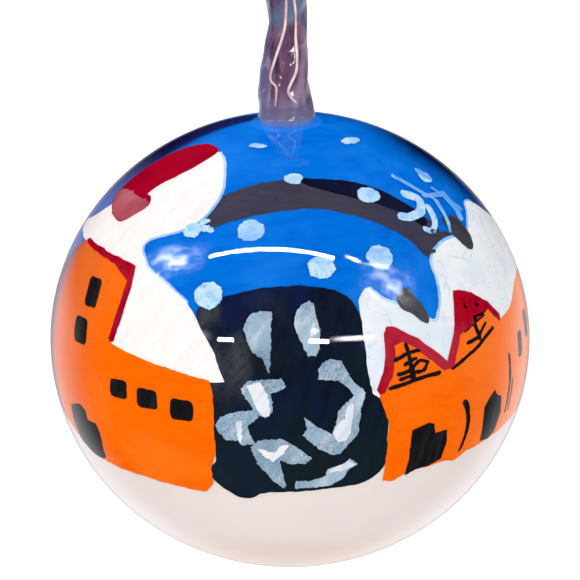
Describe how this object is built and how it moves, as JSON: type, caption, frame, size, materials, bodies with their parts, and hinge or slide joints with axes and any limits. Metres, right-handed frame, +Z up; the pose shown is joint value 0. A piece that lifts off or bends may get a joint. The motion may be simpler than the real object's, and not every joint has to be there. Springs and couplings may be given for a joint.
{
  "type": "christmas ornament",
  "caption": "Hollow blown-glass christmas ball painted on the inside with a winter village, with a drawn twisted glass stem that ends in a hanging loop.",
  "frame": {"origin": "the top of the hole in the hanging loop, where a ribbon or hook carries the ball", "axes": "+Z up along the stem; -Y is the front of the painting; +X is to the right of it"},
  "size_m": [0.0798, 0.0798, 0.1177],
  "materials": {
    "clear_glass": "clear, fire polished",
    "stem_glass": "clear mauve, drawn and twisted",
    "sky_paint": "brushed cobalt blue seen through glass",
    "snow_paint": "brushed cream white",
    "hill_paint": "brushed charcoal",
    "tree_paint": "brushed blue-black",
    "wall_paint": "brushed orange",
    "trim_paint": "brushed crimson",
    "frost_paint": "thin pale blue"
  },
  "bodies": {
    "root": {"back_hill_coat": "hill_paint", "back_house": "wall_paint", "back_house_trim": "trim_paint", "back_roof_snow": "snow_paint", "back_tree_coat": "tree_paint", "chimney_1": "hill_paint", "chimney_2": "hill_paint", "crimson_roof": "trim_paint", "frosted_twig": "frost_paint", "gable_tree_1": "tree_paint", "gable_tree_2": "tree_paint", "glass_ball": "clear_glass", "hanging_loop": "stem_glass", "hill_coat": "hill_paint", "left_door": "tree_paint", "left_house": "wall_paint", "left_house_trim": "trim_paint", "left_roof_snow": "snow_paint", "left_window_1": "tree_paint", "left_window_2": "tree_paint", "left_window_3": "tree_paint", "left_window_4": "tree_paint", "left_window_5": "tree_paint", "right_door_1": "tree_paint", "right_door_2": "tree_paint", "right_house": "wall_paint", "right_house_trim": "trim_paint", "right_roof_snow": "snow_paint", "right_window_1": "tree_paint", "right_window_2": "tree_paint", "sky_coat": "sky_paint", "snow_bank": "snow_paint", "snow_dot_1": "frost_paint", "snow_dot_10": "frost_paint", "snow_dot_2": "frost_paint", "snow_dot_3": "frost_paint", "snow_dot_4": "frost_paint", "snow_dot_5": "frost_paint", "snow_dot_6": "frost_paint", "snow_dot_7": "frost_paint", "snow_dot_8": "frost_paint", "snow_dot_9": "frost_paint", "snow_ground_coat": "snow_paint", "tree_coat": "tree_paint", "tree_snow_mark_1": "snow_paint", "tree_snow_mark_2": "snow_paint", "tree_snow_mark_3": "snow_paint", "tree_snow_mark_4": "snow_paint", "tree_snow_mark_5": "snow_paint", "tree_snow_mark_6": "snow_paint", "tree_snow_mark_7": "snow_paint", "tree_snow_mark_8": "snow_paint", "twisted_stem": "stem_glass", "wall_stroke_1": "tree_paint", "wall_stroke_2": "tree_paint"}
  },
  "joints": []
}
